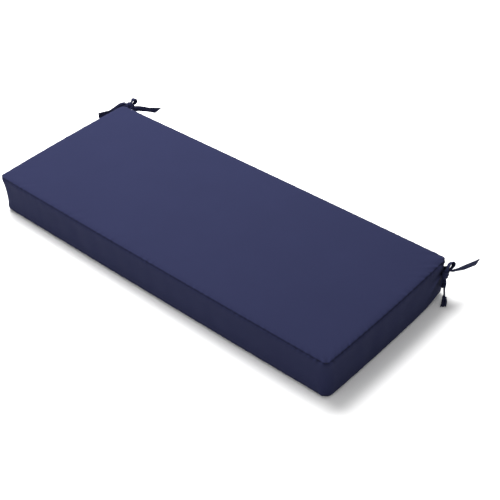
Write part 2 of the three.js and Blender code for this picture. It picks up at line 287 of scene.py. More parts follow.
@dataclass(frozen=True)
class WovenFinish:
    """A plain-woven cloth, laid out by the piece's own UV map in metres.

    The shades are factors of the colour. The shares say how far each effect lightens the cloth. A stored
    attribute then lightens worn rolls and edges, partly with a painted highlight, and darkens seams, creases
    and stitch lines with painted shade.
    """

    name: str
    colour: Triple
    wear_and_painted_light: float = 1.0
    yarn: float = 0.62 * MM
    relief: float = 0.09 * MM
    relief_strength: float = 0.7
    slub_along: float = 90.0
    slub_across: float = 2600.0
    slub_share: float = 0.22
    slub_height: float = 0.8
    slub_roughness: float = 0.12
    cloud_scale: float = 9.0
    cloud_detail: float = 3.0
    cloud_share: float = 0.2
    weave_share: float = 0.16
    dark_shade: float = 0.84
    light_shade: float = 1.34
    # The first tint is partly worn cloth and partly painted highlight; the second is painted shade.
    rubbed_and_highlight_tint: float = 1.45
    painted_shade_tint: float = 0.45
    roughness: float = 0.8
    gloss: float = 0.04
    sheen: float = 0.035
    sheen_roughness: float = 0.45
    sheen_tint: tuple[float, float, float, float] = (0.62, 0.66, 0.95, 1.0)

    def material(self) -> bpy.types.Material:
        """Build the cloth: two sets of yarns that pass over and under each other."""
        board = NodeBoard(self.name)
        cloth = add_node(board.tree, "ShaderNodeUVMap", uv_map=UV_NAME).outputs["UV"]
        split = add_node(board.tree, "ShaderNodeSeparateXYZ", {0: cloth})
        yarns, steps = [], []
        for axis in (0, 1):
            count = board.math("DIVIDE", split.outputs[axis], self.yarn)
            steps.append(board.math("FLOOR", count))
            yarns.append(board.math("ABSOLUTE", board.math("SINE", board.math("MULTIPLY", count, math.pi))))
        over = board.math("FLOORED_MODULO", board.math("ADD", *steps), 2.0)
        weave = board.total((over, yarns[0]), (board.math("SUBTRACT", 1.0, over), yarns[1]))
        ways = ((self.slub_along, self.slub_across, 1), (self.slub_across, self.slub_along, 1))
        slub = board.total(*((board.noise(board.stretched(cloth, way), 1.0), 0.5) for way in ways))
        cloudy = board.noise(board.place(), self.cloud_scale, self.cloud_detail)
        effects = ((slub, self.slub_share), (cloudy, self.cloud_share), (weave, self.weave_share))
        dark, light = (tinted(self.colour, shade) for shade in (self.dark_shade, self.light_shade))
        colour = board.blend(board.total(*effects), dark, light)
        # Painted light: above 0 the cloth takes the lighter tint, worn cloth and painted highlight; below 0
        # it takes the painted shade tint.
        wear_and_painted_light = add_node(board.tree, "ShaderNodeAttribute", attribute_name=WEAR_AND_PAINTED_LIGHT_NAME).outputs["Fac"]
        for sign, shade in ((1, self.rubbed_and_highlight_tint), (-1, self.painted_shade_tint)):
            share = board.math("MAXIMUM", board.math("MULTIPLY", wear_and_painted_light, sign * self.wear_and_painted_light), 0.0)
            colour = board.blend(share, colour, tinted(self.colour, shade))
        height = board.total((weave, 1.0), (slub, self.slub_height))
        return board.finished({
            "Base Color": colour,
            "Roughness": board.total((slub, self.slub_roughness), (1.0, self.roughness)),
            "Normal": board.bumped(height, self.relief, self.relief_strength),
            "Sheen Weight": self.sheen,
            "Sheen Roughness": self.sheen_roughness,
            "Sheen Tint": self.sheen_tint,
            "Specular IOR Level": self.gloss,
        })


@dataclass(frozen=True)
class ThreadFinish:
    """Twisted sewing thread."""

    name: str
    colour: Triple
    strand_scale: float = 2200.0
    strand_stretch: Triple = (1.0, 1.0, 2.5)
    relief: float = 0.05 * MM
    dark_shade: float = 0.7
    light_shade: float = 1.35
    roughness: float = 0.5
    strand_roughness: float = 0.15
    sheen: float = 0.1

    def material(self) -> bpy.types.Material:
        """Build the thread: fine strands with a slight gloss."""
        board = NodeBoard(self.name)
        strands = board.noise(board.stretched(board.place(), self.strand_stretch), self.strand_scale, 1.0)
        dark, light = (tinted(self.colour, shade) for shade in (self.dark_shade, self.light_shade))
        return board.finished({
            "Base Color": board.blend(strands, dark, light),
            "Roughness": board.total((strands, self.strand_roughness), (1.0, self.roughness)),
            "Normal": board.bumped(strands, self.relief),
            "Sheen Weight": self.sheen,
        })


@dataclass(frozen=True)
class FloorFinish:
    """A plain pale matt floor, with a barely uneven tone."""

    name: str = "pale_floor"
    colour: Triple = (0.84, 0.84, 0.84)
    uneven: float = 0.005
    tone_scale: float = 3.0
    roughness: float = 0.9
    gloss: float = 0.1

    def material(self) -> bpy.types.Material:
        """Build the floor."""
        board = NodeBoard(self.name)
        dark, light = (tinted(self.colour, shade) for shade in (1 - self.uneven, 1 + self.uneven))
        return board.finished({
            "Base Color": board.blend(board.noise(board.place(), self.tone_scale), dark, light),
            "Roughness": self.roughness,
            "Specular IOR Level": self.gloss,
        })


COVER_CLOTH = WovenFinish("navy_cover_cloth", (0.0148, 0.0169, 0.0442))
TIE_CLOTH = WovenFinish("navy_tie_cloth", (0.0132, 0.0151, 0.0390), wear_and_painted_light=0.6)
SEWING_THREAD = ThreadFinish("navy_sewing_thread", (0.0105, 0.012, 0.031))


# Sewn thread.


@dataclass
class StitchRows:
    """Rows of lockstitches that follow lines on the cloth."""

    name: str
    lines: list[Array]
    closed: bool
    pitch: float = 3.2 * MM
    length: float = 2.5 * MM
    thread: float = 0.42 * MM
    uneven: float = 0.1
    segments: int = 6
    rings: int = 4
    seed: int = 11

    def sizes(self) -> dict[str, float]:
        """Return the sizes that the node tree takes."""
        return {"Pitch": self.pitch, "Stitch length": self.length, "Thread": self.thread}

    def tree(self, material: bpy.types.Material) -> bpy.types.NodeTree:
        """Build the geometry nodes that lay one stitch at every pitch along the lines."""
        tree = bpy.data.node_groups.new(f"{self.name}_tree", "GeometryNodeTree")
        sides = tree.interface
        sides.new_socket("Lines", in_out="INPUT", socket_type="NodeSocketGeometry")
        for label in self.sizes():
            sides.new_socket(label, in_out="INPUT", socket_type="NodeSocketFloat")
        sides.new_socket("Stitches", in_out="OUTPUT", socket_type="NodeSocketGeometry")
        given = add_node(tree, "NodeGroupInput").outputs
        curve = add_node(tree, "GeometryNodeMeshToCurve", {"Mesh": given["Lines"]}).outputs["Curve"]
        steps = {"Curve": curve, "Length": given["Pitch"]}
        points = add_node(tree, "GeometryNodeCurveToPoints", steps, mode="LENGTH").outputs
        along = add_node(tree, "FunctionNodeAlignRotationToVector", {"Vector": points["Tangent"]}, axis="Z")
        ball = {"Segments": self.segments, "Rings": self.rings, "Radius": 0.5}
        size = {"X": given["Thread"], "Y": given["Thread"], "Z": given["Stitch length"]}
        size = add_node(tree, "ShaderNodeCombineXYZ", size).outputs[0]
        range_and_seed = {2: 1 - self.uneven, 3: 1 + self.uneven, "Seed": self.seed}
        vary = add_node(tree, "FunctionNodeRandomValue", range_and_seed, data_type="FLOAT").outputs[1]
        uneven = add_node(tree, "ShaderNodeVectorMath", {0: size, "Scale": vary}, operation="SCALE")
        stitches = {
            "Points": points["Points"],
            "Instance": add_node(tree, "GeometryNodeMeshUVSphere", ball).outputs["Mesh"],
            "Rotation": along.outputs["Rotation"],
            "Scale": uneven.outputs[0],
        }
        laid = add_node(tree, "GeometryNodeInstanceOnPoints", stitches).outputs["Instances"]
        for kind in ("SetShadeSmooth", "RealizeInstances"):
            laid = add_node(tree, f"GeometryNode{kind}", {"Geometry": laid}).outputs["Geometry"]
        dressed = add_node(tree, "GeometryNodeSetMaterial", {"Geometry": laid, "Material": material})
        add_node(tree, "NodeGroupOutput", {"Stitches": dressed.outputs["Geometry"]})
        return tree

    def build(self, material: bpy.types.Material, slot: Slot) -> bpy.types.Object:
        """Lay the stitches, and return them as one plain mesh."""
        edges, start = [], 0
        for line in self.lines:
            count = len(line)
            edges += [(start + i, start + i + 1) for i in range(count - 1)]
            if self.closed:
                edges.append((start + count - 1, start))
            start += count
        guide = bpy.data.meshes.new(f"{self.name}_guide")
        guide.from_pydata([tuple(p) for p in np.concatenate(self.lines)], edges, [])
        carrier = bpy.data.objects.new(f"{self.name}_guide", guide)
        bpy.context.scene.collection.objects.link(carrier)
        modifier = carrier.modifiers.new("Stitches", "NODES")
        modifier.node_group = self.tree(material)
        for item in modifier.node_group.interface.items_tree:
            if item.name in self.sizes():
                modifier[item.identifier] = self.sizes()[item.name]
        graph = bpy.context.evaluated_depsgraph_get()
        mesh = bpy.data.meshes.new_from_object(carrier.evaluated_get(graph), depsgraph=graph)
        mesh.name = self.name
        piece = bpy.data.objects.new(self.name, mesh)
        bpy.context.scene.collection.objects.link(piece)
        bpy.data.objects.remove(carrier)
        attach(piece, "root")
        return piece


# The pad.


@dataclass(frozen=True)
class Columns:
    """How many steps the grid has round each corner and along each side."""

    corner: int
    long: int
    short: int

    def runs(self) -> list[int]:
        """Return the steps of each corner and side, in order round the pad."""
        return [self.corner, self.long, self.corner, self.short] * 2

    def marks(self) -> Array:
        """Return where each column lies: the number of its run, from 0 to 7, plus the share of it."""
        return np.concatenate([run + np.arange(steps) / steps for run, steps in enumerate(self.runs())])


@dataclass(frozen=True)
class Pucker:
    """Small waves that a seam draws in the cloth beside it, in millimetres."""

    seed: int
    shortest: float
    longest: float
    height: float
    fade: float
    rise: float

    def at(self, panel: Panel, along: Array, around: float, off: Array) -> Array:
        """Return a panel's waves by distance off the seam and along it."""
        wave = Ripple(self.seed + panel.value, self.shortest, self.longest).at(along, around)
        return self.height * wave[None, :] * np.exp(-off / self.fade) * (1 - np.exp(-off / self.rise))


@dataclass(frozen=True)
class Sway:
    """A shallow wave over the top panel: its share, wave lengths and phases by X and Y."""

    share: float
    long_x: float
    phase_x: float
    long_y: float
    phase_y: float

    def at(self, x: Array, y: Array) -> Array:
        """Return the wave at each place."""
        return self.share * np.sin(x / self.long_x + self.phase_x) * np.sin(y / self.long_y + self.phase_y)


@dataclass(frozen=True)
class DragLines:
    """The lines that a pair of straps draws in the boxing, from where they are sewn in."""

    height: float = 1.6
    fade: float = 34.0
    start: float = 4.0
    full: float = 16.0
    broad: tuple[float, float] = (7.4, 1.9)
    narrow: Triple = (13.0, 0.7, 19.0)
    narrow_share: float = 0.6
    bunch_height: float = 1.2
    bunch_reach: float = 11.0

    def at(self, out: Array, up: Array) -> Array:
        """Return the lines' height at places out along the boxing and up from the straps."""
        reach = np.hypot(out, up)
        angle = np.arctan2(up, np.abs(out) + TINY)
        count, phase = self.broad
        lines = np.cos(count * angle + phase * np.sign(out))
        count, phase, twist = self.narrow
        lines += self.narrow_share * np.cos(count * angle + phase + reach / twist)
        fade = np.exp(-reach / self.fade) * smoothstep(reach, self.start, self.full)
        return self.height * lines * fade + self.bunch_height * np.exp(-((reach / self.bunch_reach) ** 2))


@dataclass(frozen=True)
class Tuck:
    """How far the lower back corners are drawn in and up, where the cover is slack."""

    inward: float = 2.5
    upward: float = 12.0
    reach: float = 52.0
    top: float = 75.0
    power: float = 1.4


@dataclass(frozen=True)
class SeamWearAndPaintedLight:
    """How the rolls beside a seam are lightened, partly by rubbing and partly by a painted highlight, and how
    painted shade darkens the seam and the creases, with a painted highlight on crease ridges.
    """

    roll: float = 4.6
    roll_width: float = 1.9
    # The rolls are lightened by worn cloth and a painted highlight.
    rubbed_and_painted_highlight: float = 0.34
    patches: tuple[int, float, float] = (51, 12, 90)
    patch_mean: float = 0.6
    patch_spread: float = 0.25
    # Painted shade in the seam groove.
    groove: float = 1.3
    groove_width: float = 2.0
    # Painted shade in the creases and painted highlight on their ridges.
    crease: float = 1.3


@dataclass(frozen=True)
class Filling:
    """The cloth simulation that fills a slack copy of the cover."""

    pressure: float = 4.0
    frames: int = 20
    quality: int = 6
    mass: float = 0.25
    stretch: float = 15.0
    shear: float = 5.0
    bending: float = 0.4
    growth: float = 0.004
    farthest: float = 9.0

    def run(self, slack: bpy.types.Object, held: list[int]) -> Array:
        """Fill a closed skin.

        Args:
            slack: the skin. It is deleted afterwards.
            held: the points that stay where they are.

        Returns:
            Where each point ends up, in metres.
        """
        slack.vertex_groups.new(name="held").add(held, 1.0, "REPLACE")
        cloth = slack.modifiers.new("Fill", "CLOTH")
        settings = cloth.settings
        settings.quality = self.quality
        settings.mass = self.mass
        settings.tension_stiffness = settings.compression_stiffness = self.stretch
        settings.shear_stiffness = self.shear
        settings.bending_stiffness = self.bending
        settings.use_pressure = True
        settings.uniform_pressure_force = self.pressure
        settings.shrink_min = -self.growth
        settings.vertex_group_mass = "held"
        settings.effector_weights.gravity = 0
        cloth.collision_settings.use_collision = False
        scene = bpy.context.scene
        for number in range(1, self.frames + 1):
            scene.frame_set(number)
        shape = slack.evaluated_get(bpy.context.evaluated_depsgraph_get()).to_mesh()
        moved = np.empty(len(shape.vertices) * 3)
        shape.vertices.foreach_get("co", moved)
        bpy.data.objects.remove(slack)
        scene.frame_set(1)
        return moved


@dataclass
class PadCover:
    """The filled pad: a top panel, an underside and a boxing strip, sewn along two seams.

    Its sizes are in millimetres.
    """

    FIRST_ROW = 0.7
    CROWN_POWER, EDGE_POWER = 4, 8
    MERGE_REACH, FLAT_REACH = 1e-5, 1e-7
    LEAST_MOVE = 0.1
    ROW_GROWTH = {Panel.UNDERSIDE: (1.4, 26.0), Panel.BOXING: (1.22, 6.0), Panel.TOP: (1.22, 11.0)}
    COARSE_ROWS = {
        Panel.UNDERSIDE: np.array([0, 0.3, 0.6, 0.85, 1.0]),
        Panel.BOXING: np.linspace(0, 1, 9),
        Panel.TOP: np.linspace(0, 1, 18),
    }
    PUCKERS = (Pucker(21, 9, 26, 0.24, 6, 1.2), Pucker(31, 30, 110, 0.28, 26, 5))
    SWAYS = (Sway(1.0, 97, 0.6, 71, 1.1), Sway(0.6, 41, 2.0, 53, 0))
    BOXING_WAVE = Ripple(41, 60, 260)

    bottom_seam: float = 6.0
    top_seam: float = 110.0
    seam_groove: float = 2.4
    swell: float = 2.6
    top_roll: float = 4.8
    crown: float = 4.8
    side_bow: float = 2.0
    end_bow: float = 4.0
    start_swell: float = 0.3
    sway_height: float = 0.35
    sway_rise: float = 40.0
    boxing_wave_height: float = 0.45
    corner_reach: float = 50.0
    back_corner_pull: float = 3.2
    front_corner_pull: float = 1.6
    resting_height: float = 0.4
    stitch_height: float = 0.55
    filling: Filling = Filling()
    tuck: Tuck = Tuck()
    drag: DragLines = DragLines()
    wear_and_painted_light: SeamWearAndPaintedLight = SeamWearAndPaintedLight()
    fine: Columns = Columns(14, 190, 78)
    coarse: Columns = Columns(4, 72, 28)

    def tables(self, swell: float) -> dict[Panel, list[Triple]]:
        """Return each panel's profile, from the middle of the underside to the middle of the top.

        Args:
            swell: 1 for the filled pad, less for a slacker one.

        Returns:
            Rows of the distance in from the seam line, the height, and the corner radius.
        """
        low, high, groove = self.bottom_seam, self.top_seam, self.seam_groove
        middle = PAD_DEPTH / 2
        side = -self.swell * swell
        roll = high + self.top_roll
        under = [(middle, 0, 0), (195, 0, 15), (145, 0, 20), (90, 0, 20), (45, 0, 16), (14, 0, 12)]
        under += [(7, 0.8, 15), (2.8, 2.6, 17), (0.8, low - 0.9, 18), (groove, low, 17)]
        boxing = [(groove, low, 17), (0, low + 1.6, 19), (-1.4, low + 8, 21), (0.9 * side, 34, 25)]
        boxing += [(side, 58, 26), (0.9 * side, 82, 24), (-1.4, high - 8, 19), (0.2, high - 1.6, 15)]
        boxing += [(groove, high, 11)]
        top = [(groove, high, 11), (0.8, high + 0.9, 12), (3.4, high + 2.8, 12), (8, high + 4, 13)]
        top += [(17, roll, 16), (45, roll, 18), (90, roll, 20), (145, roll, 20), (195, roll, 15)]
        top += [(middle, roll, 0)]
        return {Panel.UNDERSIDE: under, Panel.BOXING: boxing, Panel.TOP: top}

    def profile(self, panel: Panel, marks: Array | None, swell: float) -> tuple[Array, Array]:
        """Read a panel's profile at distances along it.

        Args:
            panel: which panel.
            marks: shares of the profile's length, or None for the panel's graded rows.
            swell: how full the pad is.

        Returns:
            The inset, height and corner radius of each row, and its share of the length.
        """
        values = np.array(self.tables(swell)[panel], float)
        keys = running(values[:, :2])
        if marks is None:
            growth, largest = self.ROW_GROWTH[panel]
            at = graded(keys[-1], self.FIRST_ROW, growth, largest, panel is Panel.BOXING)
            if panel is Panel.UNDERSIDE:
                at = keys[-1] - at[::-1]
        else:
            at = marks * keys[-1]
        rows = np.stack([smooth_table(at, keys, values[:, i]) for i in range(3)], axis=1)
        return rows, at / keys[-1]

    def rings(self, rows: Array, columns: Columns, crowned: bool, swell: float) -> Array:
        """Place the rings of a panel.

        Args:
            rows: inset, height and corner radius of each ring.
            columns: the steps round the pad.
            crowned: whether the panel rises to its middle.
            swell: how full the pad is.

        Returns:
            Points in millimetres, by ring and column.
        """
        inset, height, radius = (rows[:, i : i + 1] for i in range(3))
        half_x, half_y = PAD_LENGTH / 2 - inset, PAD_DEPTH / 2 - inset
        marks = columns.marks()
        run = np.floor(marks).astype(int)
        share = (marks - run)[None, :]
        sign_x, sign_y = np.array([1, -1, -1, 1]), np.array([1, 1, -1, -1])

        def arc(corner: Array, turn: Array) -> tuple[Array, Array]:
            """Return points on the corners' arcs, a quarter turn being 1."""
            angle = (corner + turn) * math.pi / 2
            x = sign_x[corner] * (half_x - radius) + radius * np.cos(angle)
            return x, sign_y[corner] * (half_y - radius) + radius * np.sin(angle)

        corner = (run // 2) % 4
        following = (corner + 1) % 4
        on_arc = (run % 2 == 0)[None, :]
        arc_x, arc_y = arc(corner[None, :], np.where(on_arc, share, 1.0))
        next_x, next_y = arc(following[None, :], np.zeros_like(share))
        x = np.where(on_arc, arc_x, arc_x + (next_x - arc_x) * share)
        y = np.where(on_arc, arc_y, arc_y + (next_y - arc_y) * share)
        along_x = np.minimum(1, np.abs(x) / (PAD_LENGTH / 2))
        along_y = np.minimum(1, np.abs(y) / (PAD_DEPTH / 2))
        z = np.broadcast_to(height, x.shape).copy()
        if crowned:
            z += self.crown * swell * (1 - along_x**self.CROWN_POWER) * (1 - along_y**2)
        x = x + np.sign(x) * self.end_bow * (1 - along_y**2) * along_x**self.EDGE_POWER
        y = y + np.sign(y) * self.side_bow * (1 - along_x**2) * along_y**self.EDGE_POWER
        return np.stack([x, y, z], axis=2)

    def grid(
        self, columns: Columns, marks: dict[Panel, Array | None], swell: float
    ) -> tuple[Array, Array, dict[Panel, Array]]:
        """Place the whole pad's grid.

        Args:
            columns: the steps round the pad.
            marks: the rows wanted in each panel.
            swell: how full the pad is.

        Returns:
            Points by ring and column, the number of each ring's panel, and the shares of each
            panel's rings. A seam's ring belongs to the panel below it.
        """
        rings, kinds, shares = [], [], {}
        for panel in Panel:
            rows, shares[panel] = self.profile(panel, marks[panel], swell)
            first = 0 if panel is Panel.UNDERSIDE else 1
            rings.append(self.rings(rows, columns, panel is Panel.TOP, swell)[first:])
            kinds += [panel.value] * (len(rows) - first)
        return np.concatenate(rings), np.array(kinds), shares

    @staticmethod
    def skin(name: str, points: Array) -> bpy.types.Object:
        """Skin a grid of points, each ring being closed."""
        rings, columns = points.shape[:2]
        faces = []
        for r in range(rings - 1):
            for c in range(columns):
                d = (c + 1) % columns
                faces.append((r * columns + c, r * columns + d, (r + 1) * columns + d, (r + 1) * columns + c))
        return make_object(name, points.reshape(-1, 3), faces)

    @staticmethod
    def seam_rings(kinds: Array) -> list[int]:
        """Return the numbers of the bottom and the top seam's rings."""
        return [int(np.sum(kinds <= panel.value)) - 1 for panel in (Panel.UNDERSIDE, Panel.BOXING)]

    def filled(self) -> dict[Panel, Array]:
        """Swell a slack copy of the pad with cloth simulation.

        Returns:
            How far each point of the coarse grid moved, in millimetres, by panel.
        """
        start, kinds, _ = self.grid(self.coarse, self.COARSE_ROWS, self.start_swell)
        rings, columns = start.shape[:2]
        bottom, top = self.seam_rings(kinds)
        held = [*range((bottom + 1) * columns), *range(top * columns, (top + 1) * columns)]
        moved = self.filling.run(self.skin("slack_pad", start * MM), held)
        shift = moved.reshape(rings, columns, 3) / MM - start
        far = np.linalg.norm(shift, axis=2, keepdims=True)
        shift *= np.minimum(1, self.filling.farthest / np.maximum(far, TINY))
        return self.by_panel(shift, kinds)

    @staticmethod
    def by_panel(values: Array, kinds: Array) -> dict[Panel, Array]:
        """Split a grid by panel, with each seam's ring in both of its panels."""
        split, start = {}, 0
        for panel in Panel:
            count = int(np.sum(kinds == panel.value))
            first = start if panel is Panel.UNDERSIDE else start - 1
            split[panel] = values[first : start + count]
            start += count
        return split

    def resampled(self, values: Array, share: Array) -> Array:
        """Read a coarse panel's values on the fine grid, smoothly.

        Args:
            values: by ring and column of the coarse grid, its rings evenly spaced.
            share: the fine rings' shares of the panel.

        Returns:
            The values by ring and column of the fine grid.
        """
        marks = self.fine.marks()
        steps = np.array(self.coarse.runs())
        starts = np.concatenate([[0], np.cumsum(steps)[:-1]])
        run = np.floor(marks).astype(int)
        column = starts[run] + (marks - run) * steps[run]
        row = share * (len(values) - 1)

        def weights(t: Array) -> list[Array]:
            """Return the four cubic weights at a share of a step."""
            return [
                (-(t**3) + 2 * t**2 - t) / 2,
                (3 * t**3 - 5 * t**2 + 2) / 2,
                (-3 * t**3 + 4 * t**2 + t) / 2,
                (t**3 - t**2) / 2,
            ]

        at = np.minimum(np.floor(row).astype(int), len(values) - 2)
        wide = sum(
            w[:, None, None] * values[np.clip(at + k - 1, 0, len(values) - 1)]
            for k, w in enumerate(weights(row - at))
        )
        at = np.floor(column).astype(int)
        return sum(
            w[None, :, None] * wide[:, (at + k - 1) % wide.shape[1]]
            for k, w in enumerate(weights(column - at))
        )

    def swollen(self, points: Array, kinds: Array, shares: dict[Panel, Array]) -> Array:
        """Return the fine grid with the simulated filling, at the pad's own swell and crown."""
        panels, moved = self.by_panel(points, kinds), self.filled()
        for panel, full in ((Panel.BOXING, self.swell), (Panel.TOP, self.crown)):
            shift = self.resampled(moved[panel], shares[panel])
            if panel is Panel.BOXING:
                reached = np.median(np.linalg.norm(shift[len(shift) // 2][:, :2], axis=1))
            else:
                reached = np.median(shift[-1][:, 2])
            wanted = full * (1 - self.start_swell)
            log.info("filling moved %s by %.1f mm, kept %.1f mm", panel.name.lower(), reached, wanted)
            panels[panel] = panels[panel] + shift * (wanted / max(reached, self.LEAST_MOVE))
        return np.concatenate([panels[p] if p is Panel.UNDERSIDE else panels[p][1:] for p in Panel])

    def build(self, material: bpy.types.Material) -> tuple[bpy.types.Object, list[Array]]:
        """Build the pad's cover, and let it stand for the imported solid.

        Returns:
            The finished mesh object, and the two seam lines.
        """
        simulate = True
        swell = self.start_swell if simulate else 1.0
        points, kinds, shares = self.grid(self.fine, dict.fromkeys(Panel), swell)
        if simulate:
            points = self.swollen(points, kinds, shares)
        seams = self.seam_rings(kinds)
        span = np.linalg.norm(np.diff(points, axis=0), axis=2).mean(axis=1)
        height = np.concatenate([[0], np.cumsum(span)])
        from_seam = np.minimum(*(np.abs(height - height[seam]) for seam in seams))
        points = self.tucked(points)
        ring = points[seams[1]]
        along = running(np.concatenate([ring, ring[:1]]))
        normal = self.normals(points)
        relief, creases = self.relief(points, along, from_seam, kinds)
        points = points + normal * relief[:, :, None]
        points[kinds == 0, :, 2] = np.maximum(points[kinds == 0, :, 2], 0)
        piece = self.skin("cushion_cover", points * MM)
        self.lay_out(piece, points, along, height, kinds)
        self.add_wear_and_painted_light(piece, from_seam, creases, along)
        self.close(piece)
        piece.data.materials.append(material)
        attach(piece, "root")
        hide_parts("cushion")
        return piece, [(points[s] + normal[s] * self.stitch_height) * MM for s in seams]

    def tucked(self, points: Array) -> Array:
        """Draw the lower back corners in and up, where the filling leaves the cover slack."""
        x, y, z = points[:, :, 0], points[:, :, 1], points[:, :, 2]
        tuck = self.tuck
        to_corner = np.hypot(PAD_LENGTH / 2 - np.abs(x), PAD_DEPTH / 2 - y)
        share = np.exp(-((to_corner / tuck.reach) ** 2)) * np.clip(1 - z / tuck.top, 0, 1) ** tuck.power
        shift = [-tuck.inward * np.sign(x) * share, -tuck.inward * share, tuck.upward * share]
        return points + np.stack(shift, axis=2)

    @staticmethod
    def normals(points: Array) -> Array:
        """Return the outward direction at each point of the grid."""
        up = np.gradient(points, axis=0)
        across = np.roll(points, -1, axis=1) - np.roll(points, 1, axis=1)
        normal = np.cross(across, up)
        size = np.linalg.norm(normal, axis=2, keepdims=True)
        return normal / np.maximum(size, TINY)

    def relief(
        self, points: Array, along: Array, from_seam: Array, kinds: Array
    ) -> tuple[Array, Array]:
        """Return how far the cloth stands in or out of its smooth shape, in millimetres.

        Args:
            points: the smooth grid.
            along: each column's distance round the pad, and the whole distance.
            from_seam: each ring's distance from the nearer seam.
            kinds: each ring's panel.

        Returns:
            The whole relief, and the part of it that is sharp creases.
        """
        x, y, z = points[:, :, 0], points[:, :, 1], points[:, :, 2]
        along, around = along[:-1], along[-1]
        off = from_seam[:, None]
        to_corner = np.hypot(PAD_LENGTH / 2 - np.abs(x), PAD_DEPTH / 2 - np.abs(y))
        pull = np.where(y > 0, self.back_corner_pull, self.front_corner_pull)
        drawn = 1 + pull * np.exp(-to_corner / self.corner_reach)
        on = {panel: (kinds == panel.value)[:, None] for panel in Panel}
        creases, waves = np.zeros_like(x), np.zeros_like(x)
        for panel in Panel:
            for pucker, kept in zip(self.PUCKERS, (creases, waves)):
                kept += np.where(on[panel], pucker.at(panel, along, around, off) * drawn, 0)
        sway = sum(sway.at(x, y) for sway in self.SWAYS)
        waves += np.where(on[Panel.TOP], self.sway_height * sway * (1 - np.exp(-off / self.sway_rise)), 0)
        up = np.clip((z - self.bottom_seam) / (self.top_seam - self.bottom_seam), 0, 1)
        wave = self.BOXING_WAVE.at(along, around)[None, :] * np.sin(np.pi * up)
        waves += np.where(on[Panel.BOXING], self.boxing_wave_height * wave, 0)
        for side in (1, -1):
            near_x, near_y = np.abs(x - side * PAD_LENGTH / 2), np.abs(y - PAD_DEPTH / 2)
            out = np.where(near_x < near_y, near_y, -near_x)
            creases += np.where(on[Panel.BOXING], self.drag.at(out, z - ROOT_HEIGHT), 0)
        rest = on[Panel.UNDERSIDE] & (z < self.resting_height)
        return np.where(rest, 0, creases + waves), np.where(rest, 0, creases)

    @staticmethod
    def lay_out(
        piece: bpy.types.Object, points: Array, along: Array, height: Array, kinds: Array
    ) -> None:
        """Give each panel its own cloth layout in metres.

        The flat panels are laid out by X and Y, and the boxing by length and height.
        """
        rings, columns = points.shape[:2]
        layer = piece.data.uv_layers.new(name=UV_NAME)
        coords = []
        for r in range(rings - 1):
            boxing = kinds[r + 1] == Panel.BOXING.value
            for c in range(columns):
                for ring, column in ((r, c), (r, c + 1), (r + 1, c + 1), (r + 1, c)):
                    flat = points[ring, column % columns, :2]
                    coords.append((along[column], height[ring]) if boxing else (flat[0], flat[1]))
        layer.data.foreach_set("uv", (np.array(coords) * MM).ravel())

    def add_wear_and_painted_light(
        self, piece: bpy.types.Object, from_seam: Array, creases: Array, along: Array
    ) -> None:
        """Store the cloth's painted light and its worn rolls: lighter above 0 on the rolls, from rubbing and
        a painted highlight, painted shade below 0 in the seams, and painted shade and highlight in the
        creases.
        """
        wear_and_painted_light = self.wear_and_painted_light
        patchy = wear_and_painted_light.patch_mean + wear_and_painted_light.patch_spread * Ripple(*wear_and_painted_light.patches).at(along[:-1], along[-1])
        # The rolls are lightened by worn cloth and a painted highlight, and the seam groove darkened by
        # painted shade.
        rubbed_and_painted_highlight = np.exp(-(((from_seam - wear_and_painted_light.roll) / wear_and_painted_light.roll_width) ** 2))
        painted_groove_shade = wear_and_painted_light.groove * np.exp(-((from_seam / wear_and_painted_light.groove_width) ** 2))
        values = wear_and_painted_light.rubbed_and_painted_highlight * rubbed_and_painted_highlight[:, None] * patchy[None, :] - painted_groove_shade[:, None]
        # Creases get painted shade and their ridges a painted highlight.
        store_wear_and_painted_light(piece, values + wear_and_painted_light.crease * np.tanh(creases))

    def close(self, piece: bpy.types.Object) -> None:
        """Merge the points that meet on both middle lines, so that the skin is closed."""
        shape = bmesh.new()
        shape.from_mesh(piece.data)
        bmesh.ops.remove_doubles(shape, verts=shape.verts, dist=self.MERGE_REACH)
        bmesh.ops.dissolve_degenerate(shape, edges=shape.edges, dist=self.FLAT_REACH)
        shape.to_mesh(piece.data)
        shape.free()


# The tie straps.


@dataclass(frozen=True)
class Station:
    """One place on a strap's route, in millimetres."""

    at: Array
    across: Array
    wide: float


def station(x: float, y: float, z: float, across: Triple, wide: float) -> Station:
    """Return a place on a strap's route."""
    return Station(np.array([x, y, z], float), unit(across), wide)


def knotted_curve(points: Array, places: Array) -> Array:
    """Follow a smooth curve through points.

    Args:
        points: the points that it passes.
        places: where it is read, a whole number being a point.

    Returns:
        The curve's points.
    """
    padded = np.concatenate([[2 * points[0] - points[1]], points, [2 * points[-1] - points[-2]]])
    gaps = np.maximum(np.linalg.norm(np.diff(padded, axis=0), axis=1) ** 0.5, LEAST_GAP)
    i = np.minimum(np.floor(places).astype(int), len(points) - 2)
    t = (places - i)[:, None]
    p0, p1, p2, p3 = (padded[i + k] for k in range(4))
    d0, d1, d2 = (gaps[i + k][:, None] for k in range(3))
    leave = ((p1 - p0) / d0 - (p2 - p0) / (d0 + d1) + (p2 - p1) / d1) * d1
    reach = ((p2 - p1) / d1 - (p3 - p1) / (d1 + d2) + (p3 - p2) / d2) * d1
    bend = -3 * p1 + 3 * p2 - 2 * leave - reach
    return p1 + leave * t + bend * t**2 + (2 * p1 - 2 * p2 + leave + reach) * t**3


@dataclass(frozen=True)
class Sweep:
    """A run's middle line, directions, width and distance at every step."""

    middle: Array
    tangent: Array
    across: Array
    wide: Array
    along: Array


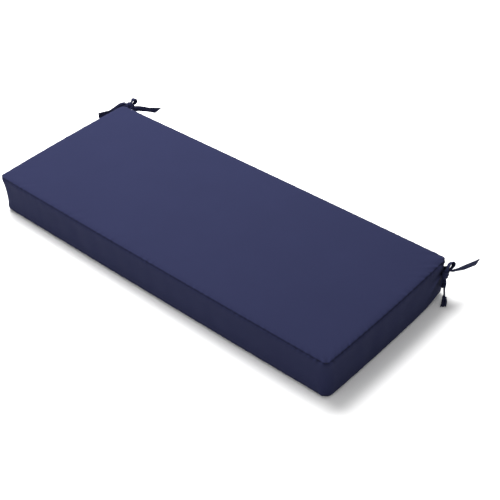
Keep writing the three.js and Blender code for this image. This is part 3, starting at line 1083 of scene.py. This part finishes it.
@dataclass
class Ribbon:
    """One run of a strap: its cloth swept along a route, gathered where the run is narrow."""

    HALF_MARKS = np.array([0, 1.1, 2.2, 3.3, 4.4, 5.4, 6.3, 6.9, 7.5, 8.2, 8.75, 9])
    STITCH_MARK = 6.9
    ROUGH_STEPS = 40
    FEWEST_STEPS = 6
    LAST_PLACE = 1e-6
    GATHERED_FROM, OPEN_FROM = 0.3, 0.95
    THINNEST_TIP, THINNEST_EDGE = 0.02, 0.18
    EDGE_POWER, SLANT_POWER = 24, 12
    DOWNWARD = -0.1

    stations: list[Station]
    slant: float = 0.0
    phase: float = 0.0
    hemmed: bool = True
    spacing: float = 1.5
    open_wall: float = 1.7
    pinched_wall: float = 1.1
    fold_share: float = 0.22
    fold_drift: float = 0.5
    fold_length: float = 17.0
    edge_calm: float = 0.25
    curl: float = 0.12
    curl_length: float = 6.1
    tip_round: float = 1.2
    hem_thicker: float = 0.6
    hem: tuple[float, float] = (8.4, 7.8)
    stitch_width: float = 0.45
    stitch_depth: float = 0.2

    def sweep(self) -> Sweep:
        """Follow the route in even steps."""
        points = np.array([s.at for s in self.stations])
        last = len(points) - 1
        rough = np.linspace(0, last, self.ROUGH_STEPS * len(points))
        lengths = running(knotted_curve(points, rough - TINY))
        count = max(self.FEWEST_STEPS, round(lengths[-1] / self.spacing))
        along = np.linspace(0, lengths[-1], count + 1)
        places = np.clip(np.interp(along, lengths, rough), 0, last - self.LAST_PLACE)
        middle = knotted_curve(points, places)
        tangent = np.gradient(middle, axis=0)
        tangent /= np.linalg.norm(tangent, axis=1, keepdims=True)
        ways = [self.stations[0].across]
        for s in self.stations[1:]:
            ways.append(s.across if s.across @ ways[-1] >= 0 else -s.across)
        ways = np.array(ways)
        low = np.minimum(np.floor(places).astype(int), last - 1)
        soft = smoothstep(places - low, 0, 1)
        across = ways[low] * (1 - soft)[:, None] + ways[low + 1] * soft[:, None]
        across -= (across * tangent).sum(axis=1, keepdims=True) * tangent
        across /= np.linalg.norm(across, axis=1, keepdims=True)
        widths = np.array([s.wide for s in self.stations])
        return Sweep(middle, tangent, across, widths[low] * (1 - soft) + widths[low + 1] * soft, along)

    def lay(self) -> tuple[Array, Array, float]:
        """Place the run's cloth.

        Returns:
            Points by step and place round the section, their cloth layout, and the run's length.
        """
        run = self.sweep()
        along, total = run.along[:, None], run.along[-1]
        across, tangent = run.across[:, None, :], run.tangent[:, None, :]
        normal = np.cross(run.tangent, run.across)[:, None, :]
        half = STRAP_WIDTH / 2
        marks = np.concatenate([-self.HALF_MARKS[:0:-1], self.HALF_MARKS])[None, :] / self.HALF_MARKS[-1]
        gathered = np.clip(run.wide / STRAP_WIDTH, 0, 1)[:, None]
        opened = smoothstep(gathered, self.GATHERED_FROM, self.OPEN_FROM)
        wall = self.pinched_wall + (self.open_wall - self.pinched_wall) * opened
        hem_start, hem_end = (total - mark for mark in self.hem)
        wall = wall * (1 + self.hem_thicker * smoothstep(along, hem_start, hem_end) * self.hemmed)
        end = np.minimum(along, total - along) / self.tip_round
        tip = np.sqrt(np.clip(1 - (1 - np.clip(end, 0, 1)) ** 2, self.THINNEST_TIP, 1))
        drift = self.phase + self.fold_drift * np.sin(along / self.fold_length + self.phase)
        fold = self.fold_share * half * np.sqrt(np.maximum(0, 1 - gathered**2))
        offset = fold * np.cos(TURN * marks + drift) * (1 - self.edge_calm * marks**2)
        offset += self.curl * np.sin(along / self.curl_length) * marks**2
        place = (run.wide / 2)[:, None] * marks
        slope = np.gradient(offset, axis=1) / np.gradient(place, axis=1)
        lean = 1 / np.sqrt(1 + slope**2)
        sewn = (np.abs(marks) * self.HALF_MARKS[-1] - self.STITCH_MARK) / self.stitch_width
        edge = np.sqrt(np.clip(1 - np.abs(marks) ** self.EDGE_POWER, self.THINNEST_EDGE, 1))
        thick = wall * tip / 2 * edge * (1 - self.stitch_depth * np.exp(-(sewn**2)))
        way = np.where(run.across[:, 2:] < self.DOWNWARD, -1, 1)
        skew = self.slant * (along / total) ** self.SLANT_POWER * way * (marks / 2)
        core = run.middle[:, None, :] + across * place[:, :, None]
        core = core + normal * offset[:, :, None] + tangent * skew[:, :, None]
        face = normal * lean[:, :, None] - across * (slope * lean)[:, :, None]
        upper, lower = core + face * thick[:, :, None], core - face * thick[:, :, None]
        section = np.concatenate([upper, lower[:, ::-1]], axis=1)
        self.hold_ahead(section, run.tangent)
        flat_x = np.concatenate([marks[0] * half, 2 * half + marks[0] * half])
        cloth = np.stack(np.broadcast_arrays(flat_x[None, :], along), axis=2)
        return section, cloth, float(total)

    @staticmethod
    def hold_ahead(section: Array, tangent: Array, least: float = 0.03) -> None:
        """Keep the inside of a tight bend a hair ahead, so that the cloth never folds through itself."""
        for i in range(1, len(section)):
            advance = ((section[i] - section[i - 1]) @ tangent[i])[:, None]
            section[i] += tangent[i] * np.maximum(0, least - advance)


@dataclass
class Knot:
    """The middle of a bow: a wrap of cloth round the blocks of both straps."""

    middle: Array
    along: Array
    out: Array
    wrap_across: float = 9.0
    wrap_out: float = 7.0
    wrap_width: float = 16.0
    block_offset: float = 2.8
    pass_offset: float = 3.0
    proud: float = 0.6

    def __post_init__(self) -> None:
        """Square up the directions."""
        self.middle = np.asarray(self.middle, float)
        self.along = unit(self.along)
        out = np.asarray(self.out, float)
        self.out = unit(out - (out @ self.along) * self.along)
        self.across = np.cross(self.along, self.out)

    def passing(self, layer: int, end: int, side: float) -> Array:
        """Return where a strap passes one end of the wrap.

        Args:
            layer: -1 for the inner strap's block, 1 for the wrap strap's.
            end: 1 for the upper end of the wrap, -1 for the lower, 0 for its middle.
            side: which half of the block, from -1 to 1.
        """
        reach = end * (self.wrap_width / 2 + self.proud)
        place = self.middle + self.out * layer * self.block_offset
        return place + self.along * reach + self.across * side * self.pass_offset

    def on_wrap(self, turn: float, factor: float = 1.0) -> Station:
        """Return a place on the wrap, turn being its angle."""
        out = self.out * self.wrap_out * math.cos(turn) * factor
        place = self.middle + out + self.across * self.wrap_across * math.sin(turn) * factor
        return Station(place, self.along, self.wrap_width)


@dataclass
class TieStrap:
    """One strap of a bow, from the corner seam through the knot to its free end."""

    STITCH_PLACE = 4
    LEAST_SEWN = 11.0
    LEAST_STITCHED_STEPS = 5
    # The edges are lightened as worn cloth; the stitched lines are darkened with painted shade.
    EDGE_WEAR = 0.5
    STITCH_PAINTED_SHADE = -0.3
    STITCH_HEIGHT = 0.05

    name: str
    node: str
    runs: list[Ribbon]

    def build(
        self, material: bpy.types.Material, cover: bpy.types.Object
    ) -> tuple[bpy.types.Object, list[Array], float]:
        """Build the strap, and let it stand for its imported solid.

        Returns:
            Its mesh object, the lines of its edge stitching, and its flat length.
        """
        points, faces, coords, wear_and_painted_light, lines = [], [], [], [], []
        start, length = 0, 0.0
        for run in self.runs:
            section, cloth, run_length = run.lay()
            steps, size = section.shape[:2]
            for i in range(steps - 1):
                for j in range(size):
                    k = (j + 1) % size
                    a, b = start + i * size, start + (i + 1) * size
                    faces.append((a + j, a + k, b + k, b + j))
            for base, turn in ((start, -1), (start + (steps - 1) * size, 1)):
                for j in range(size // 2 - 1):
                    quad = (base + j, base + j + 1, base + size - 2 - j, base + size - 1 - j)
                    faces.append(quad[::turn])
            points.append(section.reshape(-1, 3))
            coords.append(cloth.reshape(-1, 2) + [0, length])
            wear_and_painted_light.append(np.tile(self.wear_and_painted_shade_row(size), steps))
            lines += self.stitch_lines(section)
            start += steps * size
            length += run_length
        piece = make_object(self.name, np.concatenate(points) * MM, faces)
        corners = np.empty(len(piece.data.loops), int)
        piece.data.loops.foreach_get("vertex_index", corners)
        layer = piece.data.uv_layers.new(name=UV_NAME)
        layer.data.foreach_set("uv", (np.concatenate(coords) * MM)[corners].ravel())
        shape = bmesh.new()
        shape.from_mesh(piece.data)
        bmesh.ops.recalc_face_normals(shape, faces=shape.faces)
        shape.to_mesh(piece.data)
        shape.free()
        store_wear_and_painted_light(piece, np.concatenate(wear_and_painted_light))
        piece.data.materials.append(material)
        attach(piece, "root")
        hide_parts(self.node)
        return piece, lines, length

    def stitch_lines(self, section: Array) -> list[Array]:
        """Return the lines on both faces of a run where its edges are sewn."""
        size = section.shape[1]
        half = size // 2
        wide = np.linalg.norm(section[:, half - 1] - section[:, 0], axis=1)
        keep = wide > self.LEAST_SEWN
        keep[:2] = keep[-2:] = False
        parts = np.split(np.arange(len(keep)), np.nonzero(np.diff(keep.astype(int)))[0] + 1)
        parts = [part for part in parts if keep[part[0]] and len(part) >= self.LEAST_STITCHED_STEPS]
        lines = []
        for place in (self.STITCH_PLACE, half - 1 - self.STITCH_PLACE):
            for index, other in ((place, size - 1 - place), (size - 1 - place, place)):
                away = section[:, index] - section[:, other]
                away /= np.maximum(np.linalg.norm(away, axis=1, keepdims=True), TINY)
                line = (section[:, index] + away * self.STITCH_HEIGHT) * MM
                lines += [line[part] for part in parts]
        return lines

    def wear_and_painted_shade_row(self, size: int) -> Array:
        """Return how worn the edges are, and the painted shade along the stitched lines, round a section."""
        face = np.zeros(size // 2)
        face[[0, 1, -2, -1]] = self.EDGE_WEAR
        face[[self.STITCH_PLACE, -1 - self.STITCH_PLACE]] = self.STITCH_PAINTED_SHADE
        return np.concatenate([face, face[::-1]])


@dataclass(frozen=True)
class LoopShape:
    """A bow's loop: the way it stands off the knot, the way one looks through it, and its sizes."""

    lengthways: Triple
    eye: Triple
    length: float
    spread: float
    wide: float = 17.0
    rows: int = 12
    open_from: float = 0.7

    def directions(self) -> tuple[Array, Array]:
        """Return the way off the knot and the way through the loop, square to each other."""
        out, across = unit(self.lengthways), unit(self.eye)
        return out, unit(across - (across @ out) * out)

    def route(self, start: Array, end: Array) -> list[Station]:
        """Return the loop's route between two places at the end of the knot."""
        out, across = self.directions()
        sideways = np.cross(out, across)
        rows = []
        for i in range(1, self.rows):
            turn = math.pi * i / self.rows
            at = start + (end - start) * (i / self.rows) + out * self.length * math.sin(turn)
            at = at + sideways * (self.spread / 2) * math.sin(2 * turn)
            opened = smoothstep(math.sin(turn), 0.0, self.open_from)
            rows.append(Station(at, across, PINCHED_WIDTH + (self.wide - PINCHED_WIDTH) * opened))
        return rows


@dataclass
class CornerBow:
    """The two straps of a back corner, tied in a bow.

    meets is where round the wrap its root joins it, and a slant is how far a tail's upper edge
    outruns the lower one.
    """

    ROOT_ROWS = ((-1.6, 14.0), (2.5, 13.5), (6.0, 12.0))
    WRAP_ROWS = 12
    WRAP_TUCK = (0.86, 0.68)
    SMALL_TURN = 0.1

    name: str
    side: int
    knot: Knot
    lead: Station
    inner_loop: LoopShape
    inner_tail: list[Station]
    inner_slant: float
    meets: tuple[float, float]
    wrap_loop: LoopShape
    wrap_tail: list[Station]
    wrap_slant: float
    root_radius: float = 24.0
    root_inset: float = -2.34
    gap: float = 0.5
    root_shift: float = 2.2

    def root(self, sideways: float) -> list[Station]:
        """Return the sewn-in start of a strap: straight out of the corner's upright edge."""
        diagonal = unit([self.side, 1, 0])
        inset = self.root_inset + self.root_radius
        base = np.array([self.side * (PAD_LENGTH / 2 - inset), PAD_DEPTH / 2 - inset, ROOT_HEIGHT])
        base = base + diagonal * (self.root_radius + self.gap) + unit([-self.side, 1, 0]) * sideways
        upright = np.array([0, 0, 1.0])
        return [Station(base + diagonal * out, upright, wide) for out, wide in self.ROOT_ROWS]

    def first_side(self, shape: LoopShape) -> float:
        """Return the side of the knot that the loop's first leg leaves from."""
        return 1.0 if np.cross(*shape.directions()) @ self.knot.across >= 0 else -1.0

    def through(self, layer: int, ends: tuple[int, int], side: float, across: Array) -> list[Station]:
        """Return a strap's places where it is gathered inside the knot."""
        return [Station(self.knot.passing(layer, end, side), across, PINCHED_WIDTH) for end in ends]

    def looped(self, shape: LoopShape, layer: int, end: int, side: float) -> list[Station]:
        """Return the route of a loop that stands off one end of the knot."""
        return shape.route(self.knot.passing(layer, end, side), self.knot.passing(layer, end, -side))

    def inner(self) -> TieStrap:
        """Return the strap that passes inside the wrap, next to the pad."""
        side = self.first_side(self.inner_loop)
        route = [*self.root(self.root_shift), self.lead]
        route += self.through(-1, (1, -1), side, self.lead.across)
        route += self.looped(self.inner_loop, -1, -1, side)
        route += self.through(-1, (-1, 1), -side, self.inner_tail[0].across)
        route += self.inner_tail
        run = Ribbon(route, slant=self.inner_slant, phase=0.4 + self.side)
        return TieStrap(f"tie_strap_{self.name}_inner", f"tie_{self.name}_inner", [run])

    def wrap(self) -> TieStrap:
        """Return the strap that goes round both blocks, and then makes its own loop and tail."""
        knot, side = self.knot, self.first_side(self.wrap_loop)
        roots = self.root(-self.root_shift)
        start = math.atan2(self.meets[1], self.meets[0])
        ahead = knot.on_wrap(start + self.SMALL_TURN).at - knot.on_wrap(start).at
        way = 1 if ahead @ (knot.on_wrap(start).at - roots[-1].at) >= 0 else -1
        factors = [1.0] * self.WRAP_ROWS + [*self.WRAP_TUCK]
        turns = [start + way * TURN * i / self.WRAP_ROWS for i in range(len(factors))]
        hoop = [knot.on_wrap(turn, factor) for turn, factor in zip(turns, factors)]
        first = Ribbon([*roots, *hoop], phase=1.3 - self.side, hemmed=False)
        route = self.through(1, (0, 1), side, knot.out)
        route += self.looped(self.wrap_loop, 1, 1, side)
        route += self.through(1, (1, -1), -side, knot.out)
        route += self.wrap_tail
        second = Ribbon(route, slant=self.wrap_slant, phase=2.1 + self.side)
        return TieStrap(f"tie_strap_{self.name}_wrap", f"tie_{self.name}_wrap", [first, second])


def corner_bows() -> list[CornerBow]:
    """Return both bows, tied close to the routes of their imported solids."""
    right = CornerBow(
        name="right",
        side=1,
        knot=Knot([582.2, 208.6, 80.6], (0.05, 0.25, 0.97), (1, 0, 0)),
        lead=station(581, 221.5, 87, (1, 0, 0.3), 6.5),
        inner_loop=LoopShape((0.03, 0.02, -1), (0.1, -0.99, 0), 31, 5, wide=11),
        inner_tail=[
            station(587, 222, 85, (0.8, 0, 0.6), 10),
            station(590.6, 241, 77.5, (0.4, 0, 0.92), 15),
            station(599, 273, 70, (0.15, 0, 0.99), 18),
            station(607.5, 314.5, 63, (0.15, 0, 0.99), 18),
        ],
        inner_slant=7,
        meets=(-0.5, 0.86),
        wrap_loop=LoopShape((-0.06, 0.92, 0.35), (0.7, 0.0, 0.68), 28.5, 10.5),
        wrap_tail=[
            station(587.5, 204, 62, (0.7, -0.71, 0), 6),
            station(587, 202, 44, (0.7, -0.71, 0), 9),
            station(586.5, 205, 20, (0.7, -0.71, 0), 8),
            station(586.8, 206.3, 8.2, (0.8, 0.6, 0), 11),
            station(589, 203.4, 3.6, (0.8, 0.6, 0), 13),
            station(592.5, 196.8, 2.6, (0.8, 0.6, 0), 13.5),
            station(598.5, 184.6, 2.4, (0.8, 0.6, 0), 13.5),
        ],
        wrap_slant=-5,
    )
    left = CornerBow(
        name="left",
        side=-1,
        knot=Knot([-570, 251, 100], (0.52, 0.83, 0.17), (-0.34, 0.94, 0), wrap_across=10.0),
        lead=station(-560, 246, 93, (0.3, -0.3, 0.9), 9),
        inner_loop=LoopShape((-0.5, 0.1, -0.85), (0.52, 0.83, 0), 36, 10),
        inner_tail=[
            station(-559, 260.5, 90.5, (-0.3, 0.3, 0.9), 16.5),
            station(-547, 271, 89, (-0.1, 0.1, 0.95), 16),
            station(-531, 289, 82.5, (0.1, -0.2, 0.95), 18),
            station(-509, 312, 76.5, (-0.1, 0, 0.99), 18),
        ],
        inner_slant=17,
        meets=(-1, 0),
        wrap_loop=LoopShape((0.0, 0.85, 0.5), (0.84, 0.33, 0.4), 19.5, 10.5),
        wrap_tail=[
            station(-577.5, 243.5, 105.5, (-0.6, -0.08, 0.76), 13),
            station(-587.5, 234.5, 102, (-0.5, -0.08, 0.84), 16),
            station(-597, 222, 92.5, (-0.4, -0.06, 0.9), 17),
            station(-606, 204, 85, (0, 0, 1), 18),
            station(-612, 188, 86.2, (0, 0, 1), 18),
            station(-619, 170, 86.6, (0, 0, 1), 18),
        ],
        wrap_slant=0,
    )
    return [right, left]


# The studio.


@dataclass(frozen=True)
class SoftLight:
    """A large area light, aimed at a point."""

    name: str
    place: Triple
    aim: Triple
    width: float
    height: float
    power: float


@dataclass
class Studio:
    """A camera at the photograph's angle, a pale floor and soft lights."""

    camera_place: Triple = (1.5826, -1.4816, 1.7501)
    camera_right: Triple = (0.74338, 0.66699, -0.05005)
    camera_up: Triple = (-0.39363, 0.49675, 0.77349)
    camera_forward: Triple = (-0.54077, 0.5553, -0.63182)
    lens: float = 76.26
    sensor: float = 36.0
    clip: tuple[float, float] = (0.01, 60.0)
    floor_half: float = 14.0
    floor_drop: float = 0.2 * MM
    world_strength: float = 0.6
    lights: tuple[SoftLight, ...] = (
        SoftLight("key", (-0.85, 0.45, 2.2), (-0.35, 0.2, 0.1), 1.5, 1.5, 132),
        SoftLight("front_fill", (0.5, -3.3, 1.6), (0, 0, 0.1), 2.6, 1.8, 26),
    )

    def camera(self) -> None:
        """Add the camera."""
        data = bpy.data.cameras.new("camera")
        data.lens = self.lens
        data.sensor_width = self.sensor
        data.clip_start, data.clip_end = self.clip
        taker = bpy.data.objects.new("camera", data)
        columns = [self.camera_right, self.camera_up, tuple(-part for part in self.camera_forward)]
        turned = Matrix(columns).transposed().to_4x4()
        taker.matrix_world = Matrix.Translation(self.camera_place) @ turned
        bpy.context.scene.collection.objects.link(taker)
        bpy.context.scene.camera = taker

    def floor(self) -> None:
        """Add the floor, a hair under the pad."""
        size, level = self.floor_half, -self.floor_drop
        corners = [(x * size, y * size, level) for x, y in ((-1, -1), (1, -1), (1, 1), (-1, 1))]
        piece = make_object("floor", corners, [(0, 1, 2, 3)])
        piece.data.materials.append(FloorFinish().material())

    def light(self) -> None:
        """Add the soft lights and an even pale surrounding."""
        for light in self.lights:
            data = bpy.data.lights.new(light.name, "AREA")
            data.shape = "RECTANGLE"
            data.size, data.size_y = light.width, light.height
            data.energy = light.power
            lamp = bpy.data.objects.new(light.name, data)
            back = unit(np.array(light.place) - np.array(light.aim))
            right = unit(np.cross([0, 0, 1], back))
            turned = Matrix([tuple(right), tuple(np.cross(back, right)), tuple(back)]).transposed().to_4x4()
            lamp.matrix_world = Matrix.Translation(light.place) @ turned
            bpy.context.scene.collection.objects.link(lamp)
        world = bpy.data.worlds.new("pale_surrounding")
        world.use_nodes = True
        sky = world.node_tree.nodes["Background"]
        sky.inputs["Color"].default_value = (1, 1, 1, 1)
        sky.inputs["Strength"].default_value = self.world_strength
        bpy.context.scene.world = world
        bpy.context.scene.view_settings.view_transform = "Standard"

    def build(self) -> None:
        """Build the whole studio."""
        self.camera()
        self.floor()
        self.light()


def report(piece: bpy.types.Object) -> None:
    """Report a finished piece."""
    log.info("%s has %d faces", piece.name, len(piece.data.polygons))


def main() -> None:
    """Build the studio, the pad, the bows and their stitching, and report each piece."""
    logging.basicConfig(level=logging.INFO, format="%(name)s: %(message)s")
    Studio().build()
    finishes = (COVER_CLOTH, TIE_CLOTH, SEWING_THREAD)
    cover_cloth, tie_cloth, thread = (finish.material() for finish in finishes)
    cover, seams = PadCover().build(cover_cloth)
    report(cover)
    report(StitchRows("seam_stitching", seams, closed=True).build(thread, Slot.COVER))
    edges = []
    for bow in corner_bows():
        for strap in (bow.inner(), bow.wrap()):
            piece, lines, length = strap.build(tie_cloth, cover)
            edges += lines
            report(piece)
            log.info("%s is %.0f mm long", piece.name, length)
    sewn = StitchRows("tie_stitching", edges, closed=False, pitch=2.9 * MM, length=2.2 * MM, thread=0.36 * MM)
    report(sewn.build(thread, Slot.TIE))


if __name__ == "__main__":
    main()
